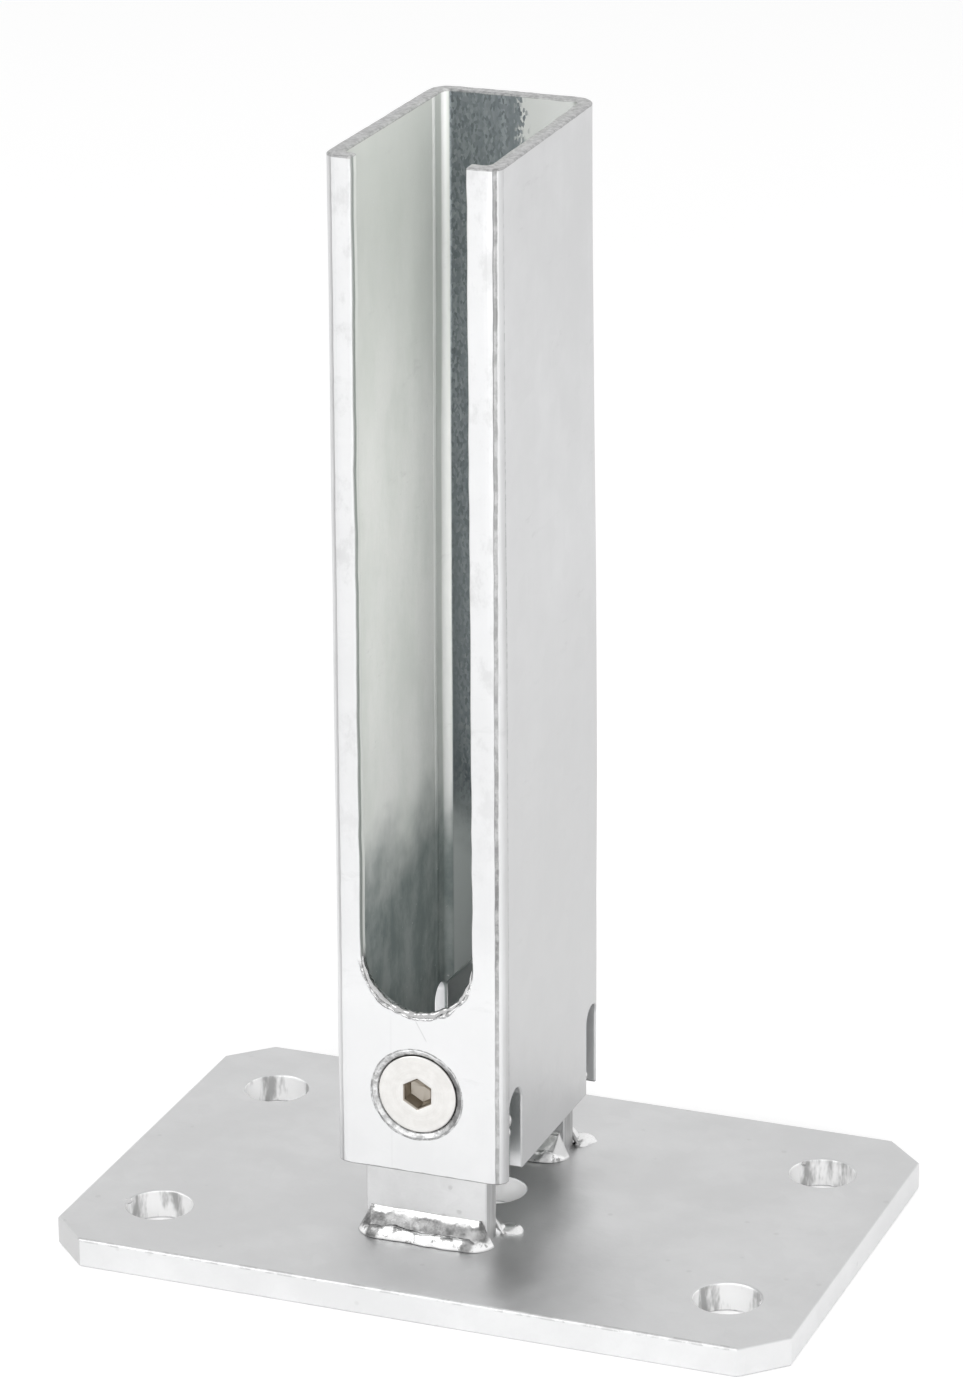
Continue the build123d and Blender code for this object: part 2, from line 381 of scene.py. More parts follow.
def dress_inside(g, coat, at):
    """Dull side walls and a rear wall that shows its crystals, with painted shade on the rear wall, on the
    side walls low down, near the top and beside the rear wall, and painted light on the inner bends, a
    raised line and parts of the rear wall.
    """
    in_y = g.times(g.span(at.y, 25.4 * MM, 25.7 * MM, 1.0, 0.0), g.span(at.y, -24.95 * MM, -24.7 * MM))
    at.within = g.times(g.span(at.side, 14.8 * MM, 15.1 * MM, 1.0, 0.0), in_y)
    fine = g.channels(g.cells(g.stretch(coat.place, (1.0, 1.0, 0.55)), 2300.0).outputs["Color"])
    soft = g.noise(g.stretch(coat.place, (40.0, 75.0, 34.0)), 1.0, 5.0, 0.62)
    haze = g.math("MULTIPLY_ADD", coat.streak, 0.08, g.times(soft, 0.92))
    dull = g.mix(g.span(haze, 0.34, 0.64), (0.88, 0.90, 0.865, 1.0), (1.0, 1.0, 0.98, 1.0))
    dull = g.mix(g.times(fine[2], 0.25), dull, (0.90, 0.92, 0.90, 1.0))
    # Painted shade: the side walls are painted darker towards the top
    dull = g.mix(g.span(at.z, 150.0 * MM, 215.0 * MM, 0.0, 0.8), dull, (0.64, 0.665, 0.63, 1.0))
    shaded = g.band(at.y, 21.5 * MM, 0.8 * MM, 0.9 * MM)
    dull = g.mix(g.times(shaded, 0.5), dull, (0.52, 0.55, 0.52, 1.0))
    # A raised draw line runs up the left wall beside the rear bend, with a painted highlight along it
    on_left = g.span(at.across, 0.0, 1.0 * MM, 1.0, 0.0)
    at.ridge = g.times(g.band(at.y, 19.5 * MM, 0.35 * MM, 0.7 * MM), on_left)
    dull = g.mix(at.ridge, dull, (0.97, 0.98, 0.96, 1.0))
    # Painted shade deep in the tube: the side walls are painted dark low down
    at.low = g.span(g.stray(at.z, g.noise(coat.place, 60.0), 26.0 * MM), 66.0 * MM, 88.0 * MM, 1.0, 0.0)
    deep_shade = g.span(g.noise(g.stretch(coat.place, (1.0, 1.0, 0.6)), 150.0, 5.0, 0.7), 0.36, 0.66)
    dull = g.mix(at.low, dull, g.mix(deep_shade, (0.245, 0.285, 0.28, 1.0), (0.40, 0.435, 0.425, 1.0)))
    flaw = g.span(g.noise(coat.place, 900.0, 2.0, 0.5), 0.70, 0.76)
    dull = g.mix(g.times(flaw, 0.5), dull, (0.80, 0.82, 0.80, 1.0))

    # Painted shade: the rear wall is painted dark, with its crystals
    spangled_rear_shading = g.mix(fine[2], (0.17, 0.19, 0.205, 1.0), (0.34, 0.37, 0.39, 1.0))
    spangled_rear_shading = g.mix(g.span(coat.streak, 0.35, 0.75), spangled_rear_shading, (0.22, 0.245, 0.26, 1.0))
    # Painted light on the rear wall low down
    spangled_rear_shading = g.mix(at.low, spangled_rear_shading, (0.66, 0.69, 0.68, 1.0))
    # Painted light: the rear wall is painted bright at its top right, with a ragged limit
    clear = g.times(g.span(g.stray(at.x, fine[1], 2.6 * MM), -3.6 * MM, -2.2 * MM),
                    g.span(at.z, 190.0 * MM, 204.0 * MM))
    spangled_rear_shading = g.mix(clear, spangled_rear_shading, (0.70, 0.71, 0.70, 1.0))
    at.rear = g.times(g.span(at.y, 23.2 * MM, 24.0 * MM), g.span(at.side, 12.75 * MM, 13.15 * MM, 1.0, 0.0))
    # Painted highlight along the inner rear bends, except low down
    bend = g.times(g.span(at.side, 13.1 * MM, 13.7 * MM), g.span(at.y, 22.9 * MM, 23.5 * MM))
    dull = g.mix(g.times(bend, g.minus(1.0, at.low)), dull, (0.98, 0.985, 0.975, 1.0))
    coat.color = g.mix(at.within, coat.color, g.mix(at.rear, dull, spangled_rear_shading))


def dress_front_lines(g, coat, at):
    """Dark grooved lines beside the two front bends, a seam and a scratch low on the front, and smears."""
    at.crease = g.times(g.band(at.along_x, 11.35 * MM, 0.20 * MM, 0.25 * MM),
                        g.span(at.y, -25.4 * MM, -25.9 * MM))
    broken = g.span(g.noise(coat.place, 380.0, 4.0, 0.65), 0.35, 0.6, 0.55, 1.0)
    color = g.mix(g.times(at.crease, broken), coat.color, grey(0.21))
    at.left_line = g.times(g.band(at.along_x, -20.6 * MM, 0.12 * MM, 0.3 * MM),
                           g.span(at.y, -25.0 * MM, -25.6 * MM))
    color = g.mix(g.times(at.left_line, 0.55), color, grey(0.36))
    seam = g.times(g.band(at.along_x, -10.2 * MM, 0.05 * MM, 0.3 * MM),
                   g.times(at.front, g.span(at.z, 54.0 * MM, 51.0 * MM)))
    color = g.mix(g.times(seam, 0.10), color, grey(0.45))
    slope = g.math("MULTIPLY_ADD", at.z, 0.55, at.x)
    scratch = g.times(g.band(slope, 23.7 * MM, 0.04 * MM, 0.16 * MM),
                      g.band(at.z, 50.4 * MM, 1.5 * MM, 0.8 * MM))
    color = g.mix(g.times(g.times(scratch, at.front), 0.5), color, grey(0.36))
    smear = g.span(g.noise(g.stretch(coat.place, (60.0, 60.0, 170.0)), 1.0, 5.0, 0.7), 0.60, 0.74)
    coat.color = g.mix(g.times(smear, 0.22), color, grey(0.52))


def dress_slot_sides(g, coat, at):
    """The slot's cut sides carry the same dull zinc as the inside, with a dark arris."""
    cut_face = g.times(g.span(at.from_slot, 12.0 * MM, 12.3 * MM, 1.0, 0.0),
                       g.band(at.y, -25.80 * MM, 1.42 * MM, 0.06 * MM))
    at.slot_cut = g.times(cut_face, g.span(at.z, 62.0 * MM, 66.0 * MM))
    color = g.mix(at.slot_cut, coat.color, (0.83, 0.85, 0.82, 1.0))
    arris = g.times(at.slot_cut, g.span(at.y, -25.7 * MM, -26.3 * MM))
    coat.color = g.mix(g.times(arris, 0.85), color, (0.20, 0.225, 0.21, 1.0))


def dress_front_tones(g, coat, at):
    """The flat front is painted a little brighter low down and darker towards the top, as painted light and
    shade, and more smeared towards the top.
    """
    # Painted light low on the front and painted shade towards its top
    high = g.times(at.front, g.span(at.z, 55.0 * MM, 125.0 * MM))
    low = g.times(at.front, g.span(at.z, 75.0 * MM, 55.0 * MM))
    color = g.mix(g.times(low, 0.30), coat.color, grey(1.0, -0.004))
    color = g.mix(g.times(high, 0.32), color, grey(0.66, -0.004))
    blotch = g.span(g.noise(g.stretch(coat.place, (150.0, 150.0, 95.0)), 1.0, 5.0, 0.7), 0.50, 0.66)
    color = g.mix(g.times(g.times(blotch, high), 0.34), color, grey(0.52))
    lower_lip = g.stray(at.z, g.noise(coat.place, 300.0), 0.5 * MM)
    coat.color = g.mix(g.span(lower_lip, 20.95 * MM, 20.70 * MM, 0.0, 0.75), color, grey(0.26))


def dress_slot_foot(g, coat, at):
    """Rough, spotted zinc on the slot's round foot."""
    radius = g.hypot(at.from_slot, g.minus(at.z, SLOT_FOOT * MM))
    ragged = g.stray(radius, g.noise(coat.place, 260.0), 1.6 * MM)
    below = g.times(g.span(at.z, 64.0 * MM, 61.0 * MM), g.span(at.y, -24.4 * MM, -25.0 * MM))
    at.crust = g.times(g.band(ragged, 11.2 * MM, 0.45 * MM, 0.35 * MM), below)
    spotted = g.mix(g.span(at.coarse, 0.42, 0.58), grey(0.24), grey(0.98))
    coat.color = g.mix(g.times(at.crust, 0.85), coat.color, spotted)


def dress_countersink(g, coat, at):
    """A streaky countersink with a broken dark outline, shaded towards the right."""
    dx = g.minus(at.x, PIVOT.x * MM)
    radius = g.hypot(dx, g.minus(at.z, PIVOT.z * MM))
    ragged = g.stray(radius, g.noise(coat.place, 330.0), 0.55 * MM)
    at_wall = g.span(g.abs(at.y), 24.0 * MM, 24.6 * MM)
    at.cone = g.times(g.span(radius, 9.05 * MM, 9.20 * MM, 1.0, 0.0), at_wall)
    streaky = g.mix(g.span(g.noise(coat.place, 520.0, 4.0, 0.65), 0.36, 0.62), grey(0.42), grey(0.90))
    color = g.mix(g.times(at.cone, 0.85), coat.color, streaky)
    shade = g.times(at.cone, g.span(dx, 4.0 * MM, 8.0 * MM))
    shade = g.most(shade, g.span(radius, 8.35 * MM, 8.15 * MM))
    color = g.mix(g.times(shade, 0.7), color, grey(0.10))
    outline = g.times(g.band(ragged, 9.34 * MM, 0.07 * MM, 0.16 * MM), at_wall)
    coat.color = g.mix(g.times(outline, g.span(at.coarse, 0.35, 0.6, 0.25, 0.85)), color, grey(0.22))


def dress_side_wall(g, coat, at):
    """The right front bend is painted greyer towards the side wall as painted shade, with a fine line where
    it ends, and the side wall is painted darker low down as painted shade.
    """
    # Painted shade across the right front bend, varied by drawn streaks
    bend = g.times(g.span(at.along_x, 11.7 * MM, 12.9 * MM), g.span(at.y, -24.6 * MM, -25.2 * MM))
    drawn = g.noise(g.stretch(coat.place, (300.0, 300.0, 40.0)), 1.0, 4.0, 0.6)
    color = g.mix(g.times(bend, g.span(drawn, 0.3, 0.7, 0.25, 0.7)), coat.color, grey(0.56))
    bend_end = g.times(g.band(g.plus(at.y, at.waver), -25.0 * MM, 0.05 * MM, 0.2 * MM),
                       g.span(at.across, 16.6 * MM, 17.0 * MM))
    color = g.mix(g.times(bend_end, g.span(at.coarse, 0.4, 0.6, 0.1, 0.6)), color, grey(0.34))
    # Painted shade: the outer side wall is painted darker low down
    low_side = g.times(g.span(at.across, 17.0 * MM, 17.3 * MM), g.span(at.z, 190.0 * MM, 60.0 * MM))
    coat.color = g.mix(g.times(low_side, 0.58), color, grey(0.66))


def dress_cut_rim(g, coat, at):
    """The sawn upper rim is dark and speckled."""
    ragged = g.stray(at.z, g.noise(coat.place, 420.0), 0.24 * MM)
    rim = g.span(ragged, 219.85 * MM, 220.05 * MM)
    speckled = g.mix(g.span(g.noise(coat.place, 1150.0, 4.0, 0.65), 0.32, 0.68), grey(0.26), grey(0.50))
    coat.color = g.mix(g.times(rim, 0.85), coat.color, speckled)


# Stainless steel

def stainless(name):
    """Turned stainless steel: fine rings about the screw's axis, warm grey, a little worn."""
    g = Graph(name)
    place = g.place()
    x, y, z = g.split(place)
    radius = g.hypot(g.minus(x, PIVOT.x * MM), g.minus(z, PIVOT.z * MM))
    ring_place = g.tree.nodes.new("ShaderNodeCombineXYZ")
    g.feed(ring_place.inputs[0], radius)
    g.feed(ring_place.inputs[1], g.times(y, 0.15))
    rings = g.noise(ring_place.outputs[0], 5200.0, 3.0, 0.6)
    cloud = g.noise(place, 420.0, 3.0, 0.6)
    tone = g.math("MULTIPLY_ADD", rings, 0.35, g.times(cloud, 0.65))
    color = g.mix(g.span(tone, 0.3, 0.7), grey(0.78, 0.024), grey(0.89, 0.018))
    # Painted shade: the hexagon recess is painted a darker, warmer grey
    depth = g.minus(HEAD_FACE * MM, g.abs(y))
    hollow = g.times(g.span(radius, 3.5 * MM, 3.6 * MM, 1.0, 0.0), g.span(depth, 0.01 * MM, 0.10 * MM))
    color = g.mix(hollow, color, (0.47, 0.43, 0.375, 1.0))
    normal = g.bump(rings, 0.18, 0.00003)
    normal = g.bump(g.noise(place, 5200.0, 2.0, 0.6), 0.15, 0.00002, normal)
    return g.metal(color, g.stray(0.33, cloud, 0.16), normal)


# Meshes

def clean_copy(name):
    """The CAD node's mesh as a bmesh, with its seams joined and its flat faces whole."""
    bm = bmesh.new()
    bm.from_mesh(nodes[name].data)
    for layer in list(bm.loops.layers.uv):
        bm.loops.layers.uv.remove(layer)
    bmesh.ops.remove_doubles(bm, verts=bm.verts, dist=1e-6)
    bmesh.ops.dissolve_limit(bm, angle_limit=0.0009, verts=bm.verts, edges=bm.edges)
    return bm


def cut(bm, axis, places, low=None, high=None):
    """Cuts the mesh across one axis at each place, only in faces at heights from low to high."""
    normal = Vector((0, 0, 0))
    normal[axis] = 1.0
    for place in places:
        faces = bm.faces
        if low is not None:
            faces = [f for f in bm.faces if low < f.calc_center_median().z / MM < high]
        parts = set()
        for f in faces:
            near = [v.co[axis] for v in f.verts]
            if min(near) < place * MM < max(near):
                parts.add(f)
                parts.update(f.edges)
                parts.update(f.verts)
        if parts:
            bmesh.ops.bisect_plane(bm, geom=list(parts), dist=1e-7,
                                   plane_co=normal * place * MM, plane_no=normal)


def to_object(bm, name, material, angle=32.0, weighted=True):
    """A finished piece from a bmesh, smooth but with its sharp edges kept."""
    bm.normal_update()
    limit = math.radians(angle)
    verts = [v.co.copy() for v in bm.verts]
    index = {v: i for i, v in enumerate(bm.verts)}
    faces = [[index[v] for v in f.verts] for f in bm.faces]
    sharp = [(index[e.verts[0]], index[e.verts[1]]) for e in bm.edges
             if len(e.link_faces) == 2 and e.calc_face_angle(0.0) > limit]
    bm.free()
    mesh = bpy.data.meshes.new(name)
    mesh.from_pydata(verts, [], faces)
    mesh.update()
    for polygon in mesh.polygons:
        polygon.use_smooth = True
    lookup = {tuple(sorted(e.vertices)): e.index for e in mesh.edges}
    for pair in sharp:
        mesh.edges[lookup[tuple(sorted(pair))]].use_edge_sharp = True
    mesh.materials.append(material)
    piece = bpy.data.objects.new(name, mesh)
    bpy.context.scene.collection.objects.link(piece)
    if weighted:
        modifier = piece.modifiers.new("weighted", "WEIGHTED_NORMAL")
        modifier.keep_sharp = True
        modifier.weight = 60
    return piece


def wave(x, y, z, size, seed=0.0):
    """Smooth noise from -1 to 1 with features of about the given size in millimetres."""
    return noise.noise(Vector((x / size + seed, y / size - seed, z / size + 2.3 * seed)))


def ease(value, low, high):
    """Runs smoothly from 0 to 1 while the value goes from low to high."""
    t = min(max((value - low) / (high - low), 0.0), 1.0)
    return t * t * (3 - 2 * t)


def steps(low, high, size):
    """The middles of equal steps of about the given size from low to high."""
    count = max(1, round((high - low) / size))
    return [low + (high - low) * (i + 0.5) / count for i in range(count)]


def square_bend(x, y):
    """Draws the two front bends out towards their corners, as on the real tube."""
    squareness = 3.4
    hand = 1.0 if x > SOCKET_X else -1.0
    middle_x = SOCKET_HALF - BEND
    middle_y = BEND - WALL_OUTER
    from_x = hand * (x - SOCKET_X) - middle_x
    from_y = middle_y - y
    if from_x <= 0 or from_y <= 0:
        return x, y
    radius = math.hypot(from_x, from_y)
    outer = ease(radius, 1.8, 4.4)
    ca, sa = from_x / radius, from_y / radius
    stretch = (ca ** squareness + sa ** squareness) ** (-1 / squareness)
    grow = 1 + (stretch - 1) * outer
    return SOCKET_X + hand * (middle_x + from_x * grow), middle_y - from_y * grow


def make_socket(material):
    """The tube with slightly wavy walls, sprung a little where it is open at the top."""
    rim = 220.0
    coarse, fine = 4.0, 1.1
    bm = clean_copy("post_socket")
    cut(bm, 2, steps(SOCKET_LOW + 1.5, rim - 1.0, coarse))
    cut(bm, 1, steps(-21.0, 21.0, coarse))
    cut(bm, 0, steps(-19.0, 10.0, coarse))
    for axis, places in ((0, steps(-19.0, 10.0, fine)), (1, steps(-24.0, 24.0, fine))):
        cut(bm, axis, places, rim - 0.4, rim + 1.0)
    for v in bm.verts:
        x, y, z = v.co / MM
        x, y = square_bend(x, y)
        side = 1.0 if x > SOCKET_X else -1.0
        front = 1.0 if y < 0 else -1.0
        hold = ease(z, 50.0, 62.0)
        shift_x = 0.10 * wave(0, y, z, 34.0, 1.0) - side * 0.06
        shift_y = 0.10 * wave(x, 0, z, 30.0, 4.0) + front * 0.06
        open_top = ease(z, 90.0, rim)
        rearward = (y + WALL_OUTER) / (2 * WALL_OUTER)
        across = (x - SOCKET_X) / SOCKET_HALF
        if side > 0:
            shift_x -= open_top * (0.5 + 1.0 * rearward) * across
        else:
            shift_x -= open_top * 0.6 * rearward * across
        shift_y += open_top * 0.40 * ease(y, 10.0, 24.0)
        x += shift_x * hold
        y += shift_y * hold
        if z > rim:
            drop = 0.02 + 0.07 * (1 + wave(x, y, 0, 1.6, 2.0)) + 0.08 * (1 + wave(x, y, 0, 6.0, 5.0))
            z -= drop * ease(z, rim, rim + 0.4)
        v.co = Vector((x, y, z)) * MM
    # The slot's edges are uneven, as cut and dipped
    for v in bm.verts:
        x, y, z = v.co / MM
        if y < -24.2 and z > 52.5:
            from_middle = x - PIVOT.x
            ragged = 0.10 * wave(x, y, z, 2.4, 7.0) + 0.18 * wave(x, 0, z, 7.0, 8.0)
            if z < SLOT_FOOT:
                away = Vector((from_middle, z - SLOT_FOOT))
                if away.length < SLOT_HALF + 1.2:
                    away.normalize()
                    v.co.x += away.x * ragged * MM
                    v.co.z += away.y * ragged * MM
            elif 10.0 < abs(from_middle) < 12.0:
                v.co.x += (1 if from_middle > 0 else -1) * ragged * MM
    return to_object(bm, "socket_tube", material)


def make_weld(name, material, face_y, outward, seed):
    """A hand-laid bead along the lug's foot that turns at both ends, lumpy under its zinc."""
    half_run = 9.0
    leg = 5.05
    # Reach from the lug and height above the plate, from the lug down to the plate
    section = ((-0.25, 4.9), (0.06, 4.95), (0.36, 4.60), (0.68, 3.90), (1.05, 3.10), (1.50, 2.40),
               (2.00, 1.98), (2.50, 1.88), (3.00, 2.02), (3.50, 2.20), (4.00, 2.00), (4.45, 1.40),
               (4.80, 0.70), (5.02, 0.08), (leg, -0.12))
    stations = []
    turn_steps = 14
    for i in range(turn_steps + 1):
        angle = math.pi / 2 * (1 - i / turn_steps)
        stations.append((SOCKET_X - half_run, -math.sin(angle), math.cos(angle)))
    run_steps = 56
    for i in range(1, run_steps):
        stations.append((SOCKET_X - half_run + 2 * half_run * i / run_steps, 0.0, 1.0))
    for i in range(turn_steps + 1):
        angle = math.pi / 2 * i / turn_steps
        stations.append((SOCKET_X + half_run, math.sin(angle), math.cos(angle)))
    bm = bmesh.new()
    rows = []
    for x, along, out in stations:
        row = []
        swell = 0.97 + 0.09 * wave(x + along * 6, 0, 0, 4.0, seed)
        turned = abs(along)
        for point, (reach, height) in enumerate(section):
            # The ends are smoother fillets than the middle, whose crest stands up as a bead
            even = height
            if reach > 0:
                even = 5.0 * (1 - math.sqrt(max(0.0, 1 - (1 - reach / leg) ** 2)))
            blend = 0.75 * turned
            high = height * (1 - blend) + min(even * 1.1, 4.9) * blend
            middle = math.sin(math.pi * min(max(reach / 5.0, 0.0), 1.0))
            ripple = 0.10 * math.sin(2 * math.pi * (x + 5 * along) / 1.5 + reach * 0.9 + seed)
            rough = 0.26 * wave(x + 4 * along, reach, seed, 1.9, seed)
            rough += 0.42 * wave(x + 4 * along, reach, 0, 4.2, seed + 3)
            high += middle * (ripple * 0.5 + rough) * (1 - 0.6 * turned)
            far = reach * swell
            if point >= len(section) - 3:
                far += 0.16 * wave(x + 5 * along, seed, 0, 1.7, seed + 6)
            far = min(far, 5.2)
            low = PLATE_TOP + max(high, -0.12)
            # The bead runs on towards the lug's corners higher up
            wider = 1 + 0.28 * (1 - min(max(reach / leg, 0.0), 1.0))
            middle_x = SOCKET_X + (x - SOCKET_X) * wider
            spot = Vector((middle_x + along * far, face_y + outward * out * far, low))
            row.append(bm.verts.new(spot * MM))
        rows.append(row)
    for first, second in zip(rows, rows[1:]):
        for j in range(len(section) - 1):
            bm.faces.new((first[j], first[j + 1], second[j + 1], second[j]))
    # Closed underneath and at the lug, inside both
    for first, second in zip(rows, rows[1:]):
        bm.faces.new((first[-1], first[0], second[0], second[-1]))
    bm.faces.new(rows[0])
    bm.faces.new(list(reversed(rows[-1])))
    bmesh.ops.remove_doubles(bm, verts=bm.verts, dist=1e-6)
    bmesh.ops.recalc_face_normals(bm, faces=bm.faces)
    piece = to_object(bm, name, material, angle=60.0, weighted=False)
    smooth = piece.modifiers.new("smooth", "SUBSURF")
    smooth.levels = 2
    smooth.render_levels = 2
    return piece


def make_screw(name, material, side):
    """A countersunk screw: softened head, chamfered hexagon recess and a real helical thread."""
    count = 96
    pitch = 1.25
    apothem = 2.5
    recess_depth = 3.95
    shank = 3.95
    thread_start, thread_end = 4.6, 15.3
    almost_zero = 0.02
    turns = [2 * math.pi * i / count for i in range(count)]

    def hexagon(angle):
        return apothem / math.cos((angle % (math.pi / 3)) - math.pi / 6)

    # Each ring is a list of depths behind the head's face and radii
    rings = [[(recess_depth, almost_zero)] * count,
             [(3.15, hexagon(a) * 0.97) for a in turns],
             [(3.00, hexagon(a)) for a in turns],
             [(0.75, hexagon(a)) for a in turns],
             [(0.30, hexagon(a) * 1.06) for a in turns],
             [(0.05, hexagon(a) * 1.15) for a in turns],
             [(0.0, hexagon(a) * 1.18) for a in turns]]
    rings += [[(0.0, r)] * count for r in (3.8, 4.8, 5.8, 6.8, 7.4)]
    rings += [[pair] * count for pair in ((0.0, 7.62), (0.05, 7.78), (0.16, 7.88), (0.30, 7.90),
                                          (0.45, 7.82), (1.6, 6.67), (2.9, 5.37), (4.3, 3.97))]
    u = thread_start
    while u < thread_end:
        fade = ease(u, thread_start, thread_start + 1.2)
        fade *= 1 - 0.75 * ease(u, thread_end - 1.0, thread_end)
        ring = []
        for a in turns:
            phase = ((u / pitch - a / (2 * math.pi)) % 1.0)
            depth = 0.5 - abs(phase - 0.5)
            ring.append((u, shank - 0.56 * fade * min(1.0, max(0.0, depth * 2.3 - 0.12))))
        rings.append(ring)
        u += pitch / 9
    rings += [[(15.4, 3.50)] * count, [(SCREW_LENGTH, 3.0)] * count, [(SCREW_LENGTH, almost_zero)] * count]
    bm = bmesh.new()
    rows = []
    for ring in rings:
        row = []
        for (u, r), a in zip(ring, turns):
            row.append(bm.verts.new(Vector((PIVOT.x + r * math.sin(a) * -side,
                                            side * (HEAD_FACE - u),
                                            PIVOT.z + r * math.cos(a))) * MM))
        rows.append(row)
    for first, second in zip(rows, rows[1:]):
        for i in range(count):
            j = (i + 1) % count
            bm.faces.new((first[i], first[j], second[j], second[i]))
    bmesh.ops.remove_doubles(bm, verts=bm.verts, dist=2.7e-5)
    bmesh.ops.recalc_face_normals(bm, faces=bm.faces)
    return to_object(bm, name, material, angle=38.0)


def blob(bm, middle, radii, seed):
    """A drop of zinc: a lumpy ellipsoid, half sunk in what carries it."""
    made = bmesh.ops.create_icosphere(bm, subdivisions=3, radius=1.0)
    for v in made["verts"]:
        x, y, z = v.co
        swell = 1 + 0.22 * noise.noise(Vector((x * 1.3 + seed, y * 1.3, z * 1.3 - seed)))
        v.co = Vector((middle[0] + x * radii[0] * swell, middle[1] + y * radii[1] * swell,
                       middle[2] + z * radii[2] * swell)) * MM


def make_drips(name, material, drops):
    """One piece of several drops, each given as its middle and its three radii."""
    bm = bmesh.new()
    for number, (middle, radii) in enumerate(drops):
        blob(bm, middle, radii, 1.7 * number + 0.4)
    return to_object(bm, name, material, weighted=False)


def roll(bm, middles, thicknesses, lowest_y, closed=False):
    """An uneven roll of zinc along a line of points, kept behind the plane lowest_y."""
    around = 12
    rows = []
    count = len(middles)
    for i, (middle, thick) in enumerate(zip(middles, thicknesses)):
        ahead = middles[(i + 1) % count] if closed or i + 1 < count else middle
        behind = middles[i - 1] if closed or i > 0 else middle
        run = (ahead - behind).normalized()
        outward = run.cross(Vector((0, 1, 0))).normalized()
        row = []
        for k in range(around):
            turn = 2 * math.pi * k / around
            place = middle + outward * (math.cos(turn) * thick)
            place.y += math.sin(turn) * thick
            place.y = max(place.y, lowest_y)
            row.append(bm.verts.new(place * MM))
        rows.append(row)
    pairs = list(zip(rows, rows[1:]))
    if closed:
        pairs.append((rows[-1], rows[0]))
    for first, second in pairs:
        for k in range(around):
            m = (k + 1) % around
            bm.faces.new((first[k], second[k], second[m], first[m]))
    if not closed:
        bm.faces.new(list(reversed(rows[0])))
        bm.faces.new(rows[-1])


def make_front_rolls(material):
    """The roll of zinc on the lower edge of the slot's foot, and the lip round the countersink."""
    bm = bmesh.new()
    middles = []
    sizes = []
    steps_along = 190
    for i in range(steps_along + 1):
        t = i / steps_along
        angle = math.radians(182 + 176 * t)
        ends = math.sin(math.pi * t) ** 0.5
        thick = 0.86 + 0.42 * wave(t * 60, 1, 0, 2.2, 2.2) + 0.30 * wave(t * 60, 5, 0, 6.5, 4.1)
        thick *= (1 - 0.45 * t) * ends
        radius = SLOT_HALF - 0.30 + 0.22 * wave(t * 60, 9, 0, 3.0, 1.4)
        out_y = -26.75 + 0.25 * wave(t * 60, 2, 0, 4.0, 7.7)
        middles.append(Vector((PIVOT.x + radius * math.cos(angle), out_y,
                               SLOT_FOOT + radius * math.sin(angle))))
        sizes.append(max(thick, 0.05) + 0.02)
    roll(bm, middles, sizes, 0.02 - WALL_OUTER)
    middles = []
    sizes = []
    steps_along = 160
    for i in range(steps_along):
        angle = 2 * math.pi * i / steps_along
        ca, sa = math.cos(angle), math.sin(angle)
        thick = 0.20 + 0.09 * wave(ca * 9, sa * 9, 0, 1.7, 3.3) + 0.07 * wave(ca * 9, sa * 9, 0, 5.0, 6.6)
        radius = 9.45 + 0.08 * wave(ca * 9, sa * 9, 0, 3.0, 9.1)
        middles.append(Vector((PIVOT.x + radius * ca, 0.14 - WALL_OUTER, PIVOT.z + radius * sa)))
        sizes.append(max(thick, 0.06))
    roll(bm, middles, sizes, 0.01 - WALL_OUTER, closed=True)
    bmesh.ops.recalc_face_normals(bm, faces=bm.faces)
    return to_object(bm, "front_rolls", material, angle=70.0, weighted=False)


